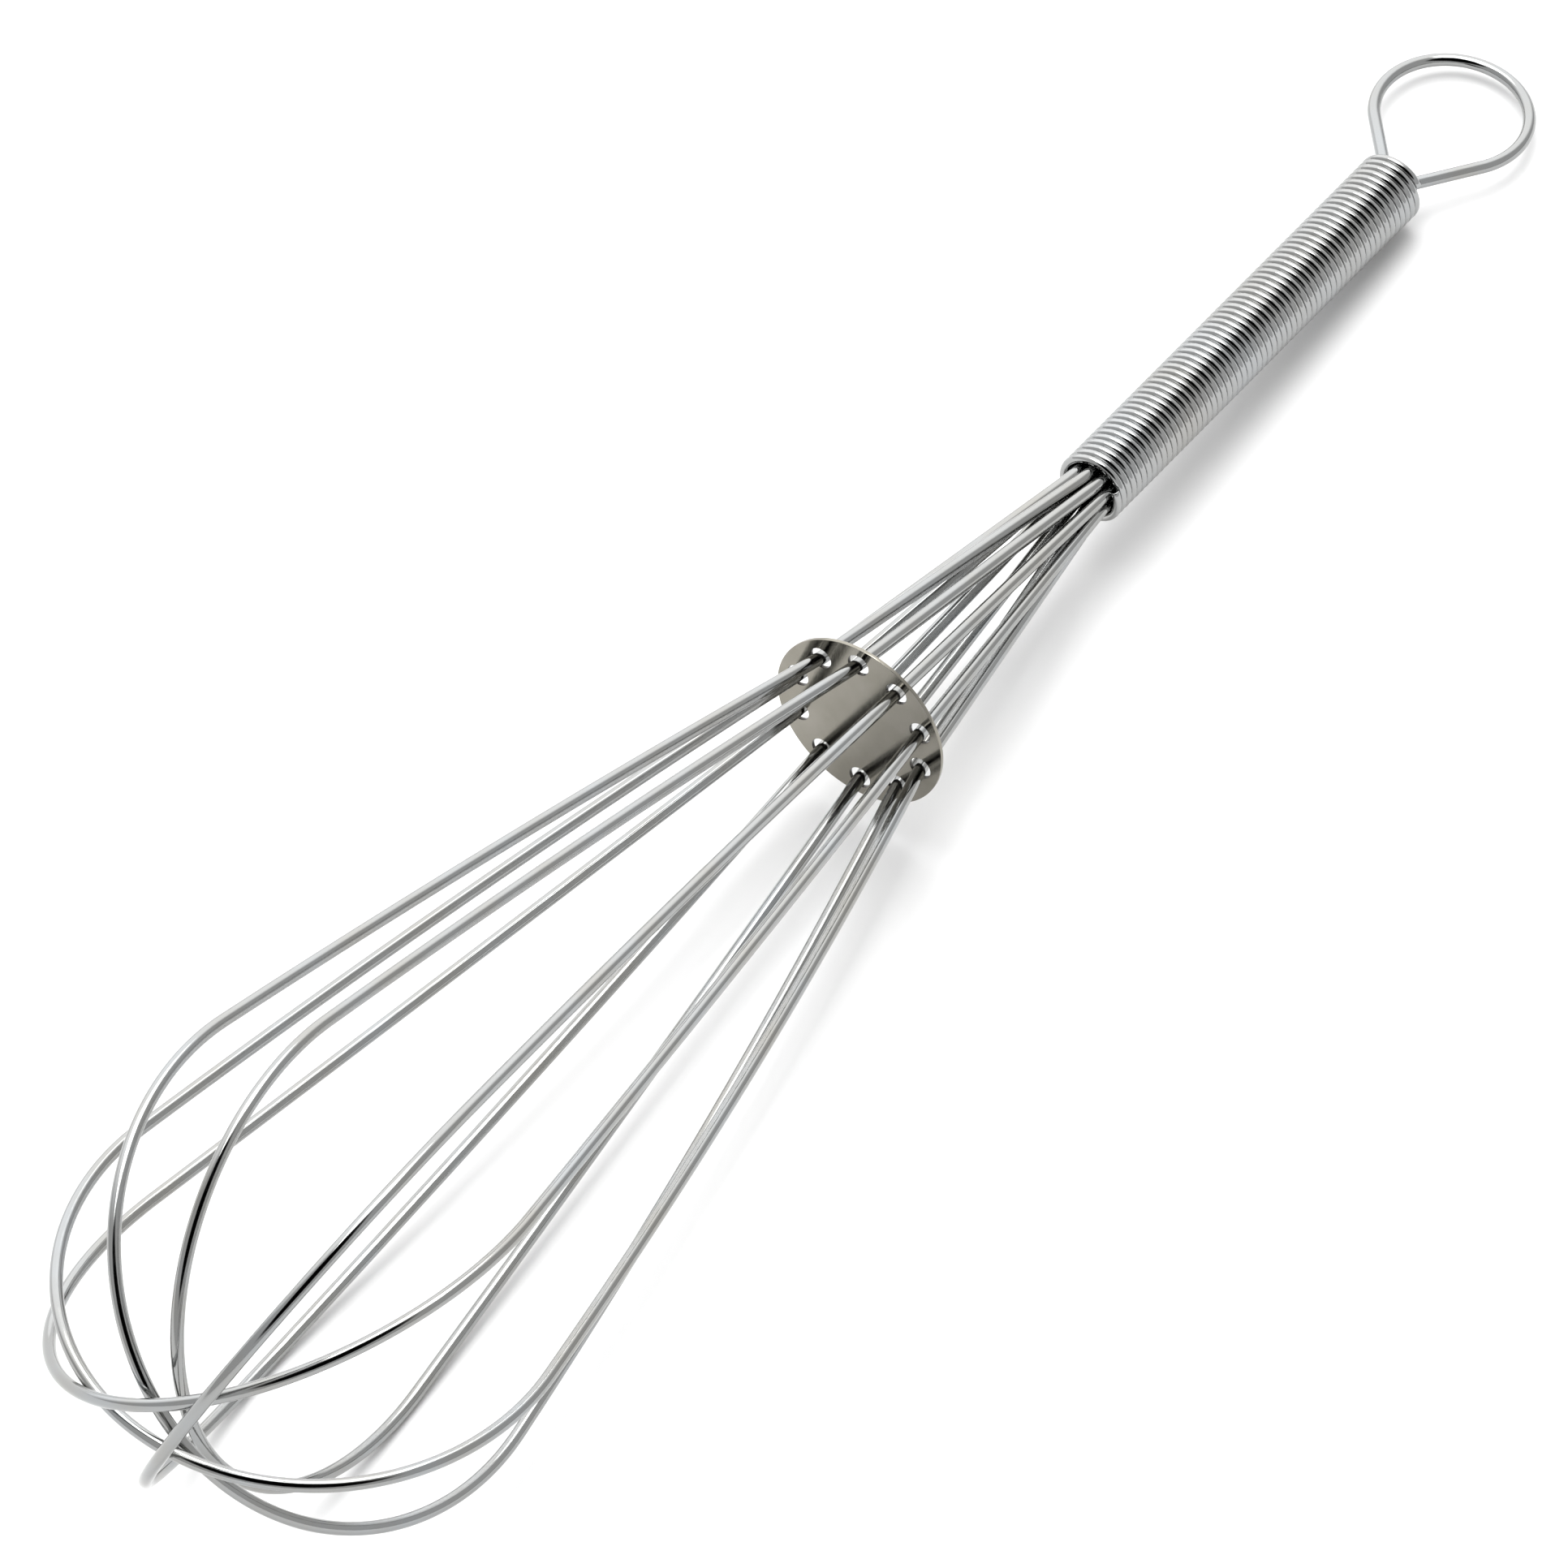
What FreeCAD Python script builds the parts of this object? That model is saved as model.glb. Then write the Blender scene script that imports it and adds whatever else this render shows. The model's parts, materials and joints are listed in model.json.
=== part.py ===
import FreeCAD, Part
import math
import os

# A balloon whisk made of spring-steel wire: five wire loops form the balloon, their ten legs
# pass through a drilled spacer disc and end inside a close-wound coil, which is the grip.
# A wire ring at the coil's far end hangs the whisk on a hook.
#
# Everything is built along the whisk's own axis: X runs from the coil's mouth (x = 0) towards
# the balloon's tip, and a clock angle is measured about +X, from straight up towards -Y.
# lay_down() then puts the whole whisk on the table, z = 0. All sizes are in mm and degrees.

# ---- driving dimensions --------------------------------------------------------------------
WIRE = 1.75                 # diameter of the balloon wires and of the hanging loop
WIRE_GAP = 0.03             # running gap between neighbouring legs
COIL_GAP = 0.05             # and between the legs and the coil round them
LEGS = 10

COIL_WIRE = 1.15            # diameter of the wire that the grip is wound from
COIL_TURNS = 62
COIL_PITCH = 1.158
COIL_START_CLOCK = -60.0    # where the coil's wire ends at the mouth

DISC_X = 51.0               # middle of the spacer disc, from the coil's mouth
DISC_RADIUS = 12.7
DISC_THICKNESS = 0.5
DISC_EDGE_ROUND = 0.12
HOLE_RING_RADIUS = 9.9
HOLE_RADIUS = 1.55
FIRST_HOLE_CLOCK = -31.0
HOLE_STEP = 360.0 / LEGS

BELLY_STRETCH = 1.07        # a loop's round end is this much longer than half its width
LEG_INSERT = 58.0           # length of each leg inside the coil
MOUTH_TWIST = -HOLE_STEP    # turn of the legs about the axis between the disc and the coil's mouth
MOUTH_BEND_SPAN = 2.5       # straight length that the bend at the coil's mouth takes up
DISC_BEND_SPAN = 3.0        # the same for the bend at the disc

# Each loop is bent a little differently by hand. From the innermost at the tip to the outermost:
# hole (number round the disc), tip_clock (turn of the round end about the axis), centre (of
# the round end, along X), half_width, sideways and lift (of that centre, in and across the
# loop's own plane) and shoulder (how far the round end runs on before a leg starts).
LOOPS = {
    "balloon_wire_1": dict(hole=1, tip_clock=16, centre=163.5, half_width=30.7,
                           sideways=1.4, lift=-1.0, shoulder=11.5),
    "balloon_wire_2": dict(hole=2, tip_clock=47, centre=164.5, half_width=32.8,
                           sideways=-1.2, lift=-0.7, shoulder=10.5),
    "balloon_wire_3": dict(hole=3, tip_clock=88, centre=168.0, half_width=31.6,
                           sideways=-0.7, lift=1.0, shoulder=8.5),
    "balloon_wire_4": dict(hole=4, tip_clock=122, centre=167.7, half_width=33.2,
                           sideways=-0.6, lift=-4.2, shoulder=11.0),
    "balloon_wire_5": dict(hole=0, tip_clock=-22, centre=168.6, half_width=33.4,
                           sideways=4.1, lift=-2.2, shoulder=14.0),
}

RING_RADIUS = 10.3          # hanging loop: radius of its round end
RING_CENTRE_BEYOND = 15.3   # that round end's centre, beyond the coil's rear end
RING_OFFSET = 1.1           # and to the side of the axis
RING_LEG_INSERT = 24.0
RING_BEND_SPAN = 1.6
NUGGET_RADIUS = 0.45        # tack welds in the grooves between the legs, inside the coil
LEG_WELD_BACK = 26.0        # their distance from the coil's rear end: leg to leg
RING_WELD_BACKS = (14.5, 20.0)          # and balloon legs to hanging loop

TABLE_TILT = 5.8            # rise of the axis towards the tip, as the whisk lies
TABLE_ROLL = 1.0            # turn of the whole whisk about its axis, as it lies

# ---- worked out from them ------------------------------------------------------------------
LEG_RING_RADIUS = (WIRE + WIRE_GAP) / 2 / math.sin(math.pi / LEGS)
COIL_INNER_RADIUS = LEG_RING_RADIUS + WIRE / 2 + COIL_GAP
COIL_RADIUS = COIL_INNER_RADIUS + COIL_WIRE / 2
COIL_LENGTH = COIL_TURNS * COIL_PITCH
AXIS = FreeCAD.Vector(1, 0, 0)


def radial(clock):
    angle = math.radians(clock)
    return FreeCAD.Vector(0, -math.sin(angle), math.cos(angle))


def at(x, radius, clock):
    return FreeCAD.Vector(x, 0, 0) + radial(clock) * radius


def unit(vector):
    return vector / vector.Length


def hole_clock(number):
    return FIRST_HOLE_CLOCK + number * HOLE_STEP


# ---- paths ---------------------------------------------------------------------------------
def arc_leaving(start, direction, end):
    """The circular arc that leaves start along direction and reaches end, and its end direction."""
    chord = end - start
    across = unit(chord - direction * chord.dot(direction))
    half_turn = math.atan2(chord.dot(across), chord.dot(direction))
    radius = chord.Length / 2 / math.sin(half_turn)
    middle = (start + direction * (radius * math.sin(half_turn))
              + across * (radius * (1 - math.cos(half_turn))))
    leaving = direction * math.cos(2 * half_turn) + across * math.sin(2 * half_turn)
    return Part.Arc(start, middle, end), leaving


def bend(before, corner, after, span):
    """The arc that rounds a corner, tangent to both straight sides, span away from the corner."""
    inward = unit(before - corner)
    outward = unit(after - corner)
    half_turn = (math.pi - inward.getAngle(outward)) / 2
    radius = span / math.tan(half_turn)
    towards_centre = unit(inward + outward)
    middle = corner + towards_centre * (radius / math.cos(half_turn) - radius)
    first = corner + inward * span
    last = corner + outward * span
    return first, last, Part.Arc(first, middle, last)


def leg_curves(shoulder, direction, clock):
    """One leg of a balloon wire, from the shoulder of its round end to its end in the coil."""
    hole = at(DISC_X, HOLE_RING_RADIUS, clock)
    mouth = at(0, LEG_RING_RADIUS, clock + MOUTH_TWIST)
    rear = at(-LEG_INSERT, LEG_RING_RADIUS, clock + MOUTH_TWIST)
    arrival = hole
    for _ in range(6):
        leg_arc, heading = arc_leaving(shoulder, direction, arrival)
        arrival = hole - heading * DISC_BEND_SPAN
    leg_arc, heading = arc_leaving(shoulder, direction, arrival)
    _, neck_start, disc_bend = bend(arrival, hole, mouth, DISC_BEND_SPAN)
    neck_end, insert_start, mouth_bend = bend(hole, mouth, rear, MOUTH_BEND_SPAN)
    return [leg_arc, disc_bend, Part.LineSegment(neck_start, neck_end), mouth_bend,
            Part.LineSegment(insert_start, rear)]


def balloon_wire_path(hole, tip_clock, centre, half_width, sideways, lift, shoulder):
    side = radial(tip_clock)
    across = AXIS.cross(side)
    middle = FreeCAD.Vector(centre, 0, 0) + side * sideways + across * lift
    forward = middle - FreeCAD.Vector(DISC_X, 0, 0)
    forward = unit(forward - side * forward.dot(side))
    length = half_width * BELLY_STRETCH
    turn = math.radians(shoulder)
    ellipse = Part.Ellipse(middle + forward * length, middle + side * half_width, middle)
    round_end = Part.ArcOfEllipse(ellipse, -math.pi / 2 - turn, math.pi / 2 + turn)
    legs = []
    for sign, clock in ((1, hole_clock(hole)), (-1, hole_clock(hole) + 180)):
        outward = side * (sign * half_width)
        start = middle - forward * (length * math.sin(turn)) + outward * math.cos(turn)
        direction = unit(forward * (-length * math.cos(turn)) - outward * math.sin(turn))
        legs.append(leg_curves(start, direction, clock))
    return list(reversed(legs[0])) + [round_end] + legs[1]


def hanging_loop_path():
    """The ring and its two legs, which lie side by side in the core of the coil."""
    clock = 90
    leg_offset = (WIRE + 0.1) / 2
    rear = -COIL_LENGTH
    centre = at(rear - RING_CENTRE_BEYOND, RING_OFFSET, clock)
    far_point = centre - AXIS * RING_RADIUS
    curves = []
    touches = []
    for sign in (1, -1):
        inner = at(rear + RING_LEG_INSERT, sign * leg_offset, clock)
        corner = at(rear + 0.3, sign * leg_offset, clock)
        reach = centre - corner
        tangent_length = math.sqrt(reach.Length ** 2 - RING_RADIUS ** 2)
        spread = math.asin(RING_RADIUS / reach.Length)
        turned = FreeCAD.Rotation(AXIS.cross(radial(clock)), math.degrees(-sign * spread))
        touch = corner + turned.multVec(unit(reach)) * tangent_length
        first, last, corner_bend = bend(inner, corner, touch, RING_BEND_SPAN)
        leg = [Part.LineSegment(inner, first), corner_bend, Part.LineSegment(last, touch)]
        curves.append(leg)
        touches.append(touch)
    ring = Part.Arc(touches[0], far_point, touches[1])
    return curves[0] + [ring] + list(reversed(curves[1]))


# ---- solids --------------------------------------------------------------------------------
def swept_wire(curves, diameter, name):
    """A round wire along a path, checked against its section times its length."""
    path = Part.Wire([curve.toShape() for curve in curves])
    edge = path.OrderedEdges[0]
    start = edge.valueAt(edge.FirstParameter)
    direction = edge.tangentAt(edge.FirstParameter)
    if edge.Orientation == "Reversed":
        start = edge.valueAt(edge.LastParameter)
        direction = edge.tangentAt(edge.LastParameter)
    section = Part.Wire([Part.makeCircle(diameter / 2, start, direction)])
    solid = path.makePipeShell([section], True, False)
    expected = math.pi * diameter ** 2 / 4 * path.Length
    print(name, "valid", solid.isValid(), "volume ratio", round(solid.Volume / expected, 4))
    return solid


def coil_grip():
    """The close-wound grip: a real helix of round wire."""
    helix = Part.makeLongHelix(COIL_PITCH, COIL_LENGTH - COIL_PITCH, COIL_RADIUS, 0)
    start = FreeCAD.Vector(COIL_RADIUS, 0, 0)
    section = Part.Wire([Part.makeCircle(COIL_WIRE / 2, start, FreeCAD.Vector(0, 1, 0))])
    coil = helix.makePipeShell([section], True, True)
    expected = math.pi * COIL_WIRE ** 2 / 4 * helix.Length
    print("coil_grip valid", coil.isValid(), "volume ratio", round(coil.Volume / expected, 4))
    coil.rotate(FreeCAD.Vector(0, 0, 0), FreeCAD.Vector(0, 1, 0), -90)
    coil.rotate(FreeCAD.Vector(0, 0, 0), AXIS, COIL_START_CLOCK)
    coil.translate(FreeCAD.Vector(-COIL_PITCH / 2, 0, 0))
    return coil


def spacer_disc():
    """The drilled disc, its rim slightly rounded."""
    back = FreeCAD.Vector(DISC_X - DISC_THICKNESS / 2, 0, 0)
    disc = Part.makeCylinder(DISC_RADIUS, DISC_THICKNESS, back, AXIS)
    disc = disc.makeFillet(DISC_EDGE_ROUND, [edge for edge in disc.Edges if edge.Length > DISC_RADIUS])
    for number in range(LEGS):
        centre = at(DISC_X - DISC_THICKNESS, HOLE_RING_RADIUS, hole_clock(number))
        disc = disc.cut(Part.makeCylinder(HOLE_RADIUS, 2 * DISC_THICKNESS, centre, AXIS))
    return disc


def tack_welds():
    """Weld nuggets in the inner grooves between neighbouring legs, all hidden in the coil."""
    groove_radius = LEG_RING_RADIUS - WIRE / 2 - NUGGET_RADIUS / 12
    spots = [(LEG_WELD_BACK, hole_clock(number + 0.5)) for number in range(LEGS)]
    spots += [(back, hole_clock(groove)) for back in RING_WELD_BACKS for groove in (3.5, 8.5)]
    nuggets = [Part.makeSphere(NUGGET_RADIUS, at(back - COIL_LENGTH, groove_radius, clock))
               for back, clock in spots]
    return Part.makeCompound(nuggets)


def extent(shapes, axis):
    """The lowest and highest value that any of the shapes reaches along one axis."""
    values = [point[axis] for shape in shapes for point in shape.tessellate(0.05)[0]]
    return min(values), max(values)


def lay_down(shapes):
    """Lays the whisk on the table, centred over the origin."""
    for shape in shapes.values():
        shape.rotate(FreeCAD.Vector(0, 0, 0), AXIS, TABLE_ROLL)
        shape.rotate(FreeCAD.Vector(0, 0, 0), FreeCAD.Vector(0, 1, 0), -TABLE_TILT)
    spans = [extent(shapes.values(), axis) for axis in range(3)]
    shift = FreeCAD.Vector(-sum(spans[0]) / 2, -sum(spans[1]) / 2, -spans[2][0])
    for name, shape in shapes.items():
        shape.translate(shift)
        print(name, [[round(value, 2) for value in extent([shape], axis)] for axis in range(3)])
    print("coil mouth's centre at", [round(value, 3) for value in shift])


def build():
    shapes = {name: swept_wire(balloon_wire_path(**bends), WIRE, name) for name, bends in LOOPS.items()}
    shapes["spacer_disc"] = spacer_disc()
    shapes["coil_grip"] = coil_grip()
    shapes["hanging_loop"] = swept_wire(hanging_loop_path(), WIRE, "hanging_loop")
    shapes["tack_welds"] = tack_welds()
    lay_down(shapes)
    return shapes


os.makedirs("parts", exist_ok=True)
for node, solid in build().items():
    solid.exportStep(f"parts/{node}.step")
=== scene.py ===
import json
import math

import bmesh
import bpy
from mathutils import Matrix, Vector


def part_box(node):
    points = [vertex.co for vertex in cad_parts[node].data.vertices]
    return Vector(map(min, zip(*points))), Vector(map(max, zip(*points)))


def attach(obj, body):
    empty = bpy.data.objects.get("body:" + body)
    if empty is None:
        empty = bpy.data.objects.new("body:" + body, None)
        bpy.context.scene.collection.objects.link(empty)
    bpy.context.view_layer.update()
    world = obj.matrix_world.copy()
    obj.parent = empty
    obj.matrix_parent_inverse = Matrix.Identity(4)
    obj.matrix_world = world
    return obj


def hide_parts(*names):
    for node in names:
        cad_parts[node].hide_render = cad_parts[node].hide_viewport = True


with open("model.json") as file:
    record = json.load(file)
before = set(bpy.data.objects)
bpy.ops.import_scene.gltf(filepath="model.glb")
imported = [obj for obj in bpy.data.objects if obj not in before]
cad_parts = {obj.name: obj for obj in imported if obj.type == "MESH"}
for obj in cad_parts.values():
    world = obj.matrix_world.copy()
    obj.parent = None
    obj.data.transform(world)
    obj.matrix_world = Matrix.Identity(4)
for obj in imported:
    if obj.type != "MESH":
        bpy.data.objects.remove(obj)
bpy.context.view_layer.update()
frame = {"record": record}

MM = 0.001

# ---- sizes of the whisk -------------------------------------------------------------------------
# In mm and degrees, along the whisk's own axis: x = 0 at the coil's mouth, X towards the tip, and a
# clock angle is measured about +X, from straight up towards -Y.
WIRE = 1.75
WIRE_GAP = 0.03
COIL_GAP = 0.05
LEGS = 10
COIL_WIRE = 1.15
COIL_TURNS = 62
COIL_PITCH = 1.158
COIL_START_CLOCK = -60.0
DISC_X = 51.0
DISC_RADIUS = 12.7
DISC_THICKNESS = 0.5
HOLE_RING_RADIUS = 9.9
HOLE_RADIUS = 1.55
FIRST_HOLE_CLOCK = -31.0
HOLE_STEP = 360.0 / LEGS
BELLY_STRETCH = 1.07
LEG_INSERT = 58.0
MOUTH_TWIST = -HOLE_STEP
MOUTH_BEND_SPAN = 2.5
DISC_BEND_SPAN = 3.0

# From the innermost loop at the tip to the outermost: hole (number round the disc), tip_clock (turn
# of the round end), centre (of the round end, along X), half_width, sideways and lift (of that centre,
# in and across the loop's plane) and shoulder (how far the round end runs on before a leg starts).
LOOPS = {
    "balloon_wire_1": dict(hole=1, tip_clock=16, centre=163.5, half_width=30.7,
                           sideways=1.4, lift=-1.0, shoulder=11.5),
    "balloon_wire_2": dict(hole=2, tip_clock=47, centre=164.5, half_width=32.8,
                           sideways=-1.2, lift=-0.7, shoulder=10.5),
    "balloon_wire_3": dict(hole=3, tip_clock=88, centre=168.0, half_width=31.6,
                           sideways=-0.7, lift=1.0, shoulder=8.5),
    "balloon_wire_4": dict(hole=4, tip_clock=122, centre=167.7, half_width=33.2,
                           sideways=-0.6, lift=-4.2, shoulder=11.0),
    "balloon_wire_5": dict(hole=0, tip_clock=-22, centre=168.6, half_width=33.4,
                           sideways=4.1, lift=-2.2, shoulder=14.0),
}
RING_RADIUS = 10.3
RING_CENTRE_BEYOND = 15.3
RING_OFFSET = 1.1
RING_LEG_INSERT = 24.0
RING_BEND_SPAN = 1.6
NUGGET_RADIUS = 0.45
LEG_WELD_BACK = 26.0
RING_WELD_BACKS = (14.5, 20.0)
TABLE_ROLL = 1.0
HOLE_EDGE_ROLL = 0.05       # rounding of the disc's edges by the punch
RIM_BAND = 0.5              # width of the band at the disc's rim that is kept out of the painted hole shade
CUT_END_ROUND = 0.16        # rounding of a wire's cut end, along it
COIL_END_ROUND = 0.05
WIRE_SIDES = 24
COIL_SIDES = 16
COIL_STEPS_PER_TURN = 40
ROUND_END_STEPS = 96
RING_STEPS = 90

LEG_RING_RADIUS = (WIRE + WIRE_GAP) / 2 / math.sin(math.pi / LEGS)
COIL_INNER_RADIUS = LEG_RING_RADIUS + WIRE / 2 + COIL_GAP
COIL_RADIUS = COIL_INNER_RADIUS + COIL_WIRE / 2
COIL_LENGTH = COIL_TURNS * COIL_PITCH
AXIS = Vector((1, 0, 0))

# ---- where the whisk lies: its axis from the disc's joint, its place from the disc's own box ----
SLIDE_AXIS = Vector(frame["record"]["behaviour"]["joints"][0]["axis"]).normalized()
TILT = math.asin(SLIDE_AXIS.z)
LOW, HIGH = (Vector(corner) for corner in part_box("spacer_disc"))
TURN = Matrix.Rotation(-TILT, 4, "Y") @ Matrix.Rotation(math.radians(TABLE_ROLL), 4, "X")
DISC_TO_MOUTH = Matrix.Translation((-DISC_X * MM, 0, 0))
TO_ROW = Matrix.Translation((LOW + HIGH) / 2) @ TURN @ DISC_TO_MOUTH @ Matrix.Scale(MM, 4)


def radial(clock):
    angle = math.radians(clock)
    return Vector((0, -math.sin(angle), math.cos(angle)))


def at(x, radius, clock):
    return Vector((x, 0, 0)) + radial(clock) * radius


def hole_clock(number):
    return FIRST_HOLE_CLOCK + number * HOLE_STEP


# ---- paths, as dense rows of points -------------------------------------------------------------
def arc_from(start, direction, end, step=1.2):
    """Points of the circular arc that leaves start along direction and reaches end."""
    chord = end - start
    across = chord - direction * chord.dot(direction)
    across.normalize()
    half_turn = math.atan2(chord.dot(across), chord.dot(direction))
    radius = chord.length / 2 / math.sin(half_turn)
    count = max(6, int(radius * 2 * half_turn / step))
    points = []
    for k in range(count + 1):
        a = 2 * half_turn * k / count
        along = direction * (radius * math.sin(a))
        points.append(start + along + across * (radius * (1 - math.cos(a))))
    heading = direction * math.cos(2 * half_turn) + across * math.sin(2 * half_turn)
    return points, heading


def bend(before, corner, after, span):
    """Points of the arc that rounds a corner, tangent to both straight sides."""
    inward = (before - corner).normalized()
    outward = (after - corner).normalized()
    points, _ = arc_from(corner + inward * span, -inward, corner + outward * span, span / 4)
    return points


def straight(start, end, step=4.0):
    count = max(1, int((end - start).length / step))
    return [start.lerp(end, k / count) for k in range(count + 1)]


def leg_points(shoulder, direction, clock):
    """One leg of a balloon wire, from the shoulder of its round end to its end in the coil."""
    hole = at(DISC_X, HOLE_RING_RADIUS, clock)
    mouth = at(0, LEG_RING_RADIUS, clock + MOUTH_TWIST)
    rear = at(-LEG_INSERT, LEG_RING_RADIUS, clock + MOUTH_TWIST)
    arrival = hole
    for _ in range(6):
        leg_arc, heading = arc_from(shoulder, direction, arrival)
        arrival = hole - heading * DISC_BEND_SPAN
    leg_arc, heading = arc_from(shoulder, direction, arrival)
    disc_bend = bend(arrival, hole, mouth, DISC_BEND_SPAN)
    mouth_bend = bend(hole, mouth, rear, MOUTH_BEND_SPAN)
    return (leg_arc + disc_bend[1:] + straight(disc_bend[-1], mouth_bend[0])[1:] + mouth_bend[1:]
            + straight(mouth_bend[-1], rear)[1:])


def balloon_wire_points(hole, tip_clock, centre, half_width, sideways, lift, shoulder):
    side = radial(tip_clock)
    across = AXIS.cross(side)
    middle = Vector((centre, 0, 0)) + side * sideways + across * lift
    forward = middle - Vector((DISC_X, 0, 0))
    forward = (forward - side * forward.dot(side)).normalized()
    length = half_width * BELLY_STRETCH
    turn = math.radians(shoulder)
    legs = []
    for sign, clock in ((1, hole_clock(hole)), (-1, hole_clock(hole) + 180)):
        outward = side * (sign * half_width)
        start = middle - forward * (length * math.sin(turn)) + outward * math.cos(turn)
        direction = (forward * (-length * math.cos(turn)) - outward * math.sin(turn)).normalized()
        legs.append(leg_points(start, direction, clock))
    sweep = math.pi / 2 + turn
    round_end = []
    for k in range(1, ROUND_END_STEPS):
        angle = sweep - 2 * sweep * k / ROUND_END_STEPS
        ahead = forward * (length * math.cos(angle))
        round_end.append(middle + ahead + side * (half_width * math.sin(angle)))
    return list(reversed(legs[0])) + round_end + legs[1]


def hanging_loop_points():
    """The ring and its two legs, which lie side by side in the core of the coil."""
    clock = 90
    leg_offset = (WIRE + 0.1) / 2
    rear = -COIL_LENGTH
    centre = at(rear - RING_CENTRE_BEYOND, RING_OFFSET, clock)
    sides = []
    angles = []
    for sign in (1, -1):
        inner = at(rear + RING_LEG_INSERT, sign * leg_offset, clock)
        corner = at(rear + 0.3, sign * leg_offset, clock)
        reach = centre - corner
        tangent_length = math.sqrt(reach.length ** 2 - RING_RADIUS ** 2)
        spread = math.asin(RING_RADIUS / reach.length)
        turned = Matrix.Rotation(-sign * spread, 3, AXIS.cross(radial(clock)))
        touch = corner + (turned @ reach.normalized()) * tangent_length
        corner_bend = bend(inner, corner, touch, RING_BEND_SPAN)
        to_touch = straight(corner_bend[-1], touch, 1)
        sides.append(straight(inner, corner_bend[0], 2) + corner_bend[1:] + to_touch[1:])
        spoke = touch - centre
        angles.append(math.atan2(spoke.dot(radial(clock)), -spoke.x))
    ring = []
    for k in range(1, RING_STEPS):
        angle = angles[0] + (angles[1] - angles[0]) * k / RING_STEPS
        back = AXIS * (-RING_RADIUS * math.cos(angle))
        ring.append(centre + back + radial(clock) * (RING_RADIUS * math.sin(angle)))
    return sides[0] + ring + list(reversed(sides[1]))


# ---- meshes ---------------------------------------------------------------------------------------
def finish_mesh(name, bm, body, replaced, material):
    """Makes the piece, which rides on its body in place of the CAD node it replaces."""
    mesh = bpy.data.meshes.new(name)
    bm.normal_update()
    bm.to_mesh(mesh)
    bm.free()
    piece = bpy.data.objects.new(name, mesh)
    bpy.context.scene.collection.objects.link(piece)
    mesh.materials.append(material)
    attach(piece, body)
    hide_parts(replaced)


def tube(name, points, diameter, sides, replaced, material, end_round=CUT_END_ROUND):
    """A round wire along the points, its cut ends slightly rounded; u runs round it, v along it in mm."""
    bm = bmesh.new()
    uv = bm.loops.layers.uv.new("wire")
    tangents = []
    for k, point in enumerate(points):
        before = points[max(k - 1, 0)]
        after = points[min(k + 1, len(points) - 1)]
        tangents.append((after - before).normalized())
    normal = tangents[0].orthogonal().normalized()
    rings = []
    lengths = []
    run = 0.0
    radius = diameter / 2
    for k, point in enumerate(points):
        normal = (normal - tangents[k] * normal.dot(tangents[k])).normalized()
        binormal = tangents[k].cross(normal)
        if k:
            run += (point - points[k - 1]).length
        stations = [(0.0, radius)]
        if k == 0:
            stations = [(0.0, radius * 0.80), (end_round * 0.35, radius * 0.94), (end_round, radius)]
        elif k == len(points) - 1:
            stations = [(-end_round, radius), (-end_round * 0.35, radius * 0.94), (0.0, radius * 0.80)]
        for shift, size in stations:
            middle = point + tangents[k] * shift
            ring = []
            for j in range(sides):
                a = 2 * math.pi * j / sides
                spot = middle + normal * (size * math.cos(a)) + binormal * (size * math.sin(a))
                ring.append(bm.verts.new(TO_ROW @ spot))
            rings.append(ring)
            lengths.append(run + shift)
    for k in range(len(rings) - 1):
        for j in range(sides):
            i = (j + 1) % sides
            face = bm.faces.new((rings[k][j], rings[k][i], rings[k + 1][i], rings[k + 1][j]))
            coords = ((j, k), (j + 1, k), (j + 1, k + 1), (j, k + 1))
            face.smooth = True
            for loop, (a, b) in zip(face.loops, coords):
                loop[uv].uv = (a / sides, lengths[b])
    bm.faces.new(list(reversed(rings[0])))
    bm.faces.new(rings[-1])
    finish_mesh(name, bm, "whisk", replaced, material)


def coil_points():
    points = []
    for k in range((COIL_TURNS - 1) * COIL_STEPS_PER_TURN + 1):
        turn = k / COIL_STEPS_PER_TURN
        x = -COIL_PITCH / 2 - turn * COIL_PITCH
        points.append(at(x, COIL_RADIUS, COIL_START_CLOCK - 360 * turn))
    return points


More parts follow.
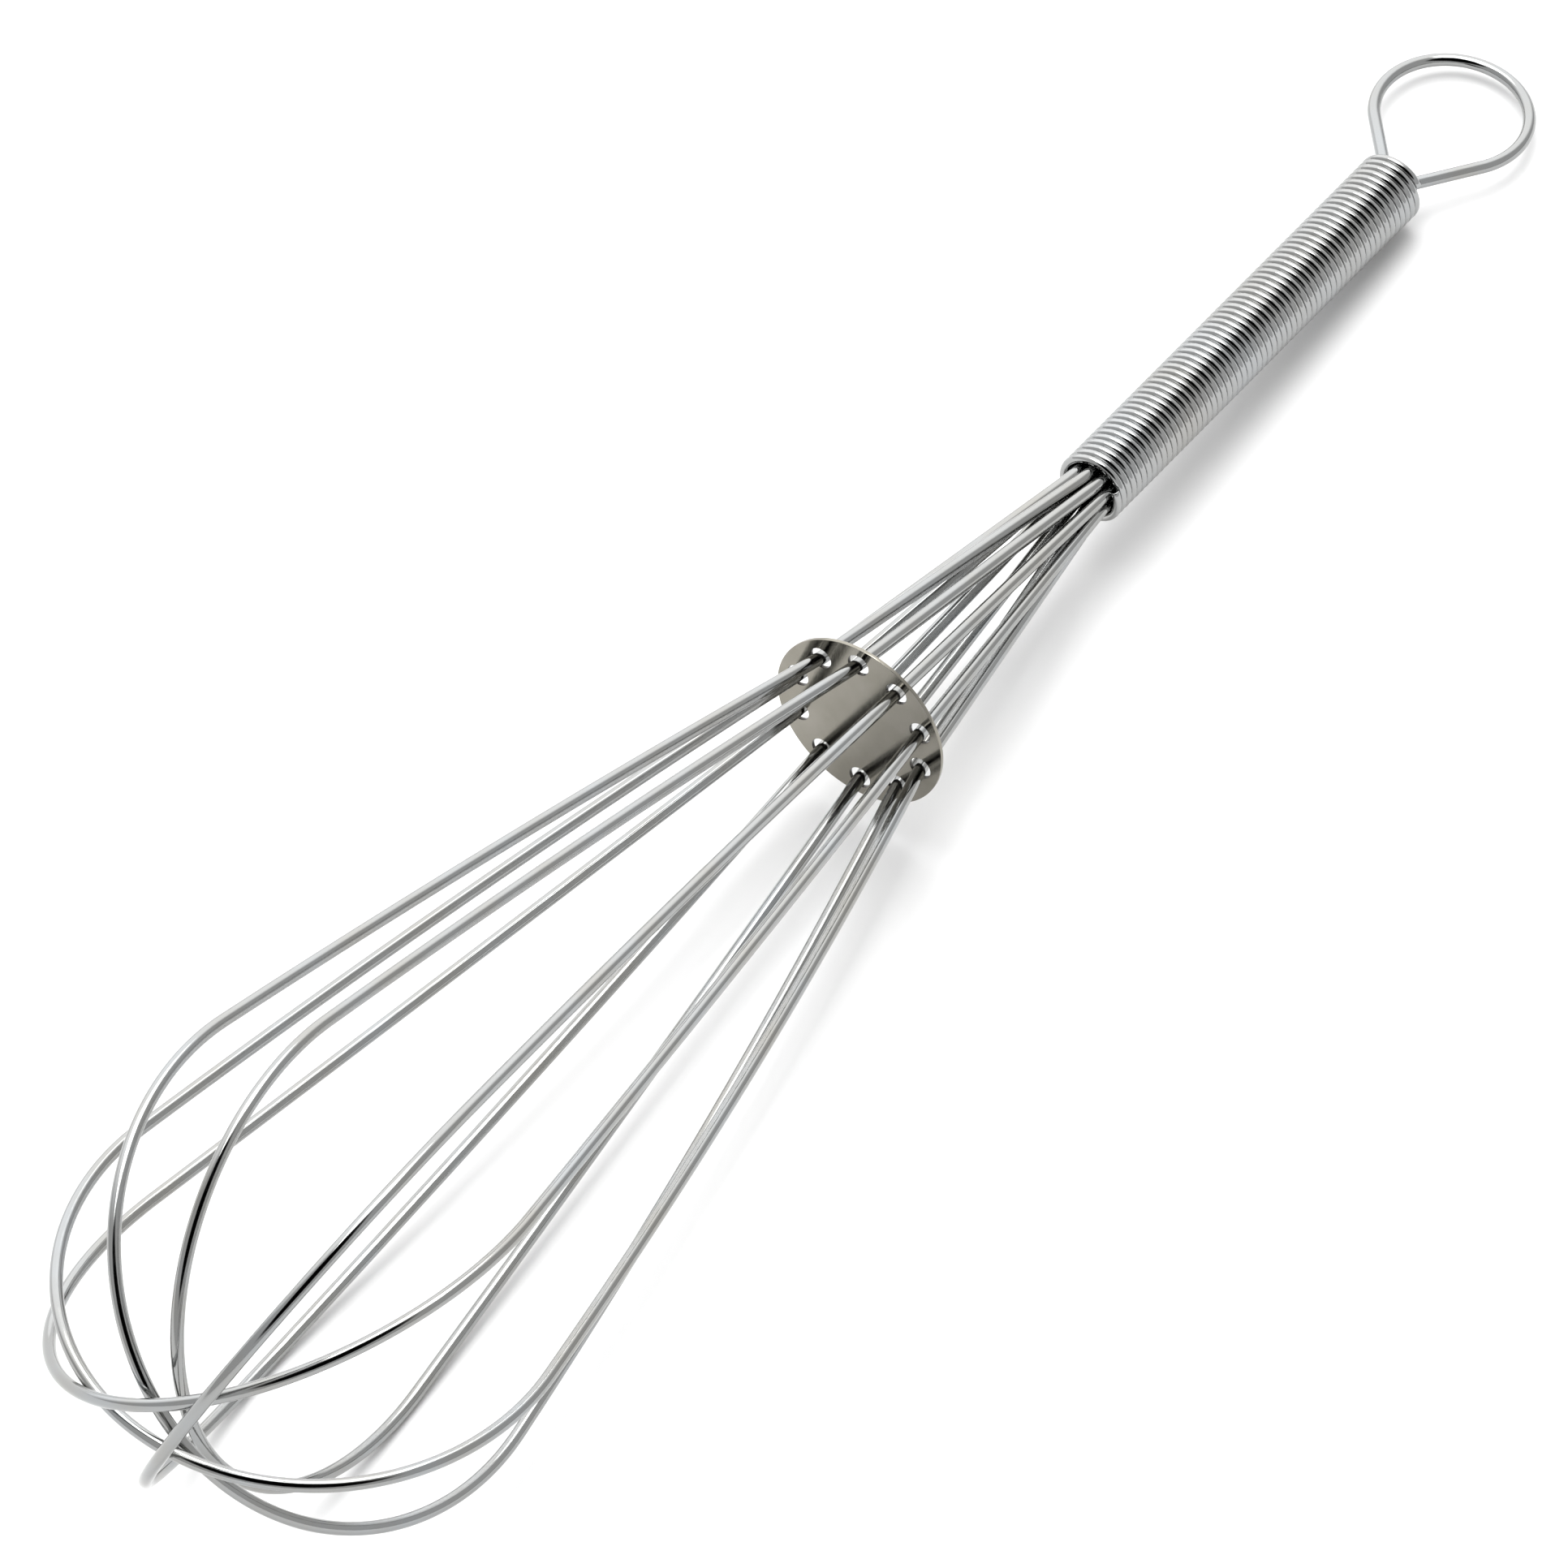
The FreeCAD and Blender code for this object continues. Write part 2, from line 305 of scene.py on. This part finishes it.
def punched_disc(material):
    """The drilled disc: rim rounded, hole edges rolled over by the punch."""
    curve = bpy.data.curves.new("disc_outline", "CURVE")
    curve.dimensions = "2D"
    curve.fill_mode = "BOTH"
    curve.resolution_u = 24
    curve.bevel_depth = HOLE_EDGE_ROLL * MM
    curve.bevel_resolution = 3
    curve.extrude = (DISC_THICKNESS / 2 - HOLE_EDGE_ROLL) * MM
    curve.offset = -HOLE_EDGE_ROLL * MM
    circles = [((0, 0), DISC_RADIUS)]
    for number in range(LEGS):
        spoke = radial(hole_clock(number)) * HOLE_RING_RADIUS
        circles.append(((spoke.y, spoke.z), HOLE_RADIUS))
    for (x, y), radius in circles:
        spline = curve.splines.new("BEZIER")
        spline.bezier_points.add(7)
        handle = radius * 4 / 3 * math.tan(math.pi / 16)
        for k, point in enumerate(spline.bezier_points):
            a = 2 * math.pi * k / 8
            spot = Vector((x + radius * math.cos(a), y + radius * math.sin(a), 0))
            forward = Vector((-math.sin(a), math.cos(a), 0)) * handle
            point.co = spot * MM
            point.handle_left = (spot - forward) * MM
            point.handle_right = (spot + forward) * MM
        spline.use_cyclic_u = True
    outline = bpy.data.objects.new("disc_outline", curve)
    bpy.context.scene.collection.objects.link(outline)
    graph = bpy.context.evaluated_depsgraph_get()
    mesh = bpy.data.meshes.new_from_object(outline.evaluated_get(graph))
    bpy.data.objects.remove(outline)
    bm = bmesh.new()
    bm.from_mesh(mesh)
    bmesh.ops.remove_doubles(bm, verts=bm.verts, dist=1e-7)
    bm.normal_update()
    # Hole-wall faces are marked for painted shade: the sheet material colours them near-black in place of the
    # shade inside the holes. The band at the rim is left out.
    painted_hole_shade = bm.faces.layers.float.new("painted_hole_shade")
    for face in bm.faces:
        face.smooth = abs(face.normal.z) < 0.999
        middle = face.calc_center_median()
        on_rim = math.hypot(middle.x, middle.y) > (DISC_RADIUS - RIM_BAND) * MM
        face[painted_hole_shade] = 1.0 if face.smooth and not on_rim else 0.0
    flat_to_whisk = Matrix(((0, 0, 1, DISC_X), (1, 0, 0, 0), (0, 1, 0, 0), (0, 0, 0, 1)))
    bm.transform(TO_ROW @ flat_to_whisk @ Matrix.Scale(1 / MM, 4))
    bmesh.ops.recalc_face_normals(bm, faces=bm.faces)
    finish_mesh("spacer_disc_punched", bm, "disc", "spacer_disc", material)


def weld_beads(material):
    """Small uneven beads of weld metal in the grooves between the legs."""
    groove_radius = LEG_RING_RADIUS - WIRE / 2 - NUGGET_RADIUS / 12
    spots = [(LEG_WELD_BACK, hole_clock(number + 0.5)) for number in range(LEGS)]
    spots += [(back, hole_clock(groove)) for back in RING_WELD_BACKS for groove in (3.5, 8.5)]
    bm = bmesh.new()
    for index, (back, clock) in enumerate(spots):
        middle = at(back - COIL_LENGTH, groove_radius, clock)
        made = bmesh.ops.create_icosphere(bm, subdivisions=3, radius=NUGGET_RADIUS * 0.97)
        for vert in made["verts"]:
            for face in vert.link_faces:
                face.smooth = True
            wave = math.sin(vert.co.x * 9 + index * 1.7) * math.cos(vert.co.y * 7 + index)
            size = 0.94 + 0.05 * wave
            vert.co = TO_ROW @ (middle + vert.co * size)
    finish_mesh("tack_weld_beads", bm, "whisk", "tack_welds", material)


# ---- materials --------------------------------------------------------------------------------------
class Nodes:
    """A short way to write a node tree."""

    def __init__(self, name):
        self.material = bpy.data.materials.new(name)
        self.material.use_nodes = True
        self.tree = self.material.node_tree
        self.shader = self.tree.nodes["Principled BSDF"]

    def add(self, kind, **settings):
        node = self.tree.nodes.new(kind)
        for key, value in settings.items():
            if key.startswith("in_"):
                node.inputs[key[3:].replace("_", " ")].default_value = value
            else:
                setattr(node, key, value)
        return node

    def link(self, output, target):
        self.tree.links.new(output, target)

    def noise(self, coordinates, scale, detail=3.0, rough=0.5):
        node = self.add("ShaderNodeTexNoise", in_Scale=scale, in_Detail=detail, in_Roughness=rough)
        self.link(coordinates, node.inputs["Vector"])
        return node.outputs["Fac"]

    def remap(self, value, low, high, to_low, to_high):
        node = self.add("ShaderNodeMapRange")
        node.inputs["From Min"].default_value = low
        node.inputs["From Max"].default_value = high
        node.inputs["To Min"].default_value = to_low
        node.inputs["To Max"].default_value = to_high
        self.link(value, node.inputs["Value"])
        return node.outputs["Result"]

    def stretch(self, output, scale):
        node = self.add("ShaderNodeMapping")
        node.inputs["Scale"].default_value = scale
        self.link(output, node.inputs["Vector"])
        return node.outputs["Vector"]

    def ramp(self, value, *stops):
        node = self.add("ShaderNodeValToRGB")
        elements = node.color_ramp.elements
        while len(elements) < len(stops):
            elements.new(0.5)
        for element, (place, colour) in zip(elements, stops):
            element.position = place
            element.color = (*colour, 1)
        self.link(value, node.inputs["Fac"])
        return node.outputs["Color"]

    def bump(self, height, strength, distance, below=None):
        node = self.add("ShaderNodeBump", in_Strength=strength, in_Distance=distance)
        self.link(height, node.inputs["Height"])
        if below is not None:
            self.link(below, node.inputs["Normal"])
        return node.outputs["Normal"]


def drawn_wire_material(name, dark, bright, rough_low, rough_high):
    """Bright drawn stainless wire: fine lines along it, faint cloudy stains, a few dull rubs."""
    m = Nodes(name)
    along = m.add("ShaderNodeUVMap", uv_map="wire").outputs["UV"]
    place = m.add("ShaderNodeTexCoord").outputs["Object"]
    lines = m.noise(m.stretch(along, (60.0, 0.35, 1.0)), 1.0, 4.0, 0.6)
    rubs = m.noise(m.stretch(along, (7.0, 0.5, 1.0)), 1.0, 5.0, 0.65)
    clouds = m.noise(place, 90.0, 3.0)
    colour = m.ramp(clouds, (0.3, dark), (0.7, bright))
    m.link(colour, m.shader.inputs["Base Color"])
    m.shader.inputs["Metallic"].default_value = 1.0
    m.link(m.remap(rubs, 0.35, 0.75, rough_low, rough_high), m.shader.inputs["Roughness"])
    fine = m.bump(lines, 0.25, 0.00001)
    m.link(m.bump(clouds, 0.10, 0.00003, fine), m.shader.inputs["Normal"])
    return m.material


# Painted shade: the near-black colour given to the hole walls in place of the shade inside the holes.
HOLE_SHADE_COLOUR = (0.045, 0.042, 0.038)
SHEET_DARK = (0.225, 0.213, 0.180)
SHEET_BRIGHT = (0.265, 0.252, 0.220)


def sheet_material():
    """Rolled stainless sheet: satin grain one way, warm stains, small scratches, and painted shade that
    colours the hole walls near-black.
    """
    m = Nodes("rolled_sheet")
    place = m.add("ShaderNodeTexCoord").outputs["Object"]
    grain = m.noise(m.stretch(place, (900.0, 9000.0, 900.0)), 1.0, 4.0, 0.6)
    stains = m.noise(place, 160.0, 4.0, 0.6)
    scratches = m.noise(m.stretch(place, (600.0, 300.0, 9000.0)), 1.0, 2.0)
    colour = m.ramp(stains, (0.3, SHEET_DARK), (0.7, SHEET_BRIGHT))
    # Painted shade: the marked hole walls take the near-black colour instead of the sheet's own colour.
    painted_hole_shade = m.add("ShaderNodeAttribute", attribute_name="painted_hole_shade").outputs["Fac"]
    paint_hole_shade = m.add("ShaderNodeMix", data_type="RGBA")
    m.link(painted_hole_shade, paint_hole_shade.inputs[0])
    m.link(colour, paint_hole_shade.inputs[6])
    paint_hole_shade.inputs[7].default_value = (*HOLE_SHADE_COLOUR, 1)
    m.link(paint_hole_shade.outputs[2], m.shader.inputs["Base Color"])
    m.shader.inputs["Metallic"].default_value = 1.0
    m.link(m.remap(grain, 0.3, 0.7, 0.10, 0.17), m.shader.inputs["Roughness"])
    fine = m.bump(grain, 0.02, 0.000004)
    m.link(m.bump(scratches, 0.01, 0.000004, fine), m.shader.inputs["Normal"])
    return m.material


def weld_material():
    """Weld metal with heat colours."""
    m = Nodes("weld_metal")
    place = m.add("ShaderNodeTexCoord").outputs["Object"]
    clouds = m.noise(place, 900.0, 4.0)
    brown, straw, blue = (0.16, 0.13, 0.12), (0.34, 0.29, 0.22), (0.28, 0.30, 0.36)
    colour = m.ramp(clouds, (0.3, brown), (0.5, straw), (0.7, blue))
    m.link(colour, m.shader.inputs["Base Color"])
    m.shader.inputs["Metallic"].default_value = 0.9
    m.link(m.remap(clouds, 0.3, 0.7, 0.35, 0.6), m.shader.inputs["Roughness"])
    m.link(m.bump(clouds, 0.4, 0.00005), m.shader.inputs["Normal"])
    return m.material


# ---- camera, floor and light ---------------------------------------------------------------------------
VIEW_AZIMUTH = 34.39
VIEW_ELEVATION = 52.53
VIEW_ROLL = 1.245
VIEW_TARGET = Vector((0.01327, -0.00148, 0.01994))
VIEW_DISTANCE = 2.0663
VIEW_LENS = 375.13
FLOOR_RADIUS = 5.0
FLOOR_GREY = 0.92
FAR_SIDE = -130.0           # azimuth of the tent's bright side


def direction(azimuth, elevation):
    a, e = math.radians(azimuth), math.radians(elevation)
    return Vector((math.cos(e) * math.cos(a), math.cos(e) * math.sin(a), math.sin(e)))


def make_camera():
    data = bpy.data.cameras.new("camera")
    data.lens = VIEW_LENS
    data.sensor_width = 36.0
    data.clip_start = 0.05
    data.clip_end = 30.0
    camera = bpy.data.objects.new("camera", data)
    bpy.context.scene.collection.objects.link(camera)
    view = direction(VIEW_AZIMUTH, VIEW_ELEVATION)
    level = Vector((-math.sin(math.radians(VIEW_AZIMUTH)), math.cos(math.radians(VIEW_AZIMUTH)), 0))
    upright = view.cross(level)
    roll = math.radians(VIEW_ROLL)
    right = level * math.cos(roll) + upright * math.sin(roll)
    up = view.cross(right)
    place = VIEW_TARGET + view * VIEW_DISTANCE
    camera.matrix_world = Matrix((
        (right.x, up.x, view.x, place.x), (right.y, up.y, view.y, place.y),
        (right.z, up.z, view.z, place.z), (0, 0, 0, 1)))
    bpy.context.scene.camera = camera


def make_floor():
    mesh = bpy.data.meshes.new("floor")
    bm = bmesh.new()
    bmesh.ops.create_circle(bm, cap_ends=True, segments=96, radius=FLOOR_RADIUS)
    bm.to_mesh(mesh)
    bm.free()
    floor = bpy.data.objects.new("floor", mesh)
    bpy.context.scene.collection.objects.link(floor)
    m = Nodes("pale_floor")
    m.shader.inputs["Base Color"].default_value = (FLOOR_GREY, FLOOR_GREY, FLOOR_GREY, 1)
    m.shader.inputs["Roughness"].default_value = 0.9
    m.shader.inputs["Specular IOR Level"].default_value = 0.1
    mesh.materials.append(m.material)


def soft_box(name, azimuth, elevation, distance, size, power):
    """A square area light that faces the whisk."""
    data = bpy.data.lights.new(name, "AREA")
    data.shape = "SQUARE"
    data.size = size
    data.energy = power
    light = bpy.data.objects.new(name, data)
    bpy.context.scene.collection.objects.link(light)
    out = direction(azimuth, elevation)
    light.matrix_world = Matrix.Translation(out * distance) @ out.to_track_quat("Z", "Y").to_matrix().to_4x4()


def make_light():
    """A pale tent, brightest on its far side and dimmer near, with a dark opening in front."""
    world = bpy.data.worlds.new("tent")
    bpy.context.scene.world = world
    world.use_nodes = True
    tree = world.node_tree
    background = tree.nodes["Background"]
    coordinates = tree.nodes.new("ShaderNodeTexCoord")

    def zone(towards, inner, outer, low, high):
        """low within inner degrees of a direction, high beyond outer degrees."""
        dot = tree.nodes.new("ShaderNodeVectorMath")
        dot.operation = "DOT_PRODUCT"
        dot.inputs[1].default_value = towards
        tree.links.new(coordinates.outputs["Generated"], dot.inputs[0])
        ease = tree.nodes.new("ShaderNodeMapRange")
        ease.interpolation_type = "SMOOTHSTEP"
        ease.inputs["From Min"].default_value = math.cos(math.radians(inner))
        ease.inputs["From Max"].default_value = math.cos(math.radians(outer))
        ease.inputs["To Min"].default_value = low
        ease.inputs["To Max"].default_value = high
        tree.links.new(dot.outputs["Value"], ease.inputs["Value"])
        return ease.outputs["Result"]

    walls = zone(direction(FAR_SIDE, 32), 26, 60, 2.3, 0.82)
    opening = zone(direction(34, 53), 28, 36, 0.0, 1.0)
    strength = tree.nodes.new("ShaderNodeMath")
    strength.operation = "MULTIPLY"
    tree.links.new(walls, strength.inputs[0])
    tree.links.new(opening, strength.inputs[1])
    tree.links.new(strength.outputs["Value"], background.inputs["Strength"])
    background.inputs["Color"].default_value = (1, 1, 1, 1)
    soft_box("overhead_box", FAR_SIDE, 74, 1.8, 1.3, 24)


make_camera()
make_floor()
make_light()
bpy.context.scene.view_settings.view_transform = "Standard"

bright_wire = drawn_wire_material(
    "bright_wire", (0.300, 0.296, 0.281), (0.318, 0.328, 0.334), 0.08, 0.15)
coil_wire = drawn_wire_material(
    "coil_wire", (0.330, 0.327, 0.316), (0.352, 0.360, 0.364), 0.03, 0.07)
for node_name, bends in LOOPS.items():
    wire_points = balloon_wire_points(**bends)
    tube(f"{node_name}_drawn", wire_points, WIRE, WIRE_SIDES, node_name, bright_wire)
tube("hanging_loop_drawn", hanging_loop_points(), WIRE, WIRE_SIDES, "hanging_loop", bright_wire)
tube("coil_grip_wound", coil_points(), COIL_WIRE, COIL_SIDES, "coil_grip", coil_wire,
     end_round=COIL_END_ROUND)
punched_disc(sheet_material())
weld_beads(weld_material())
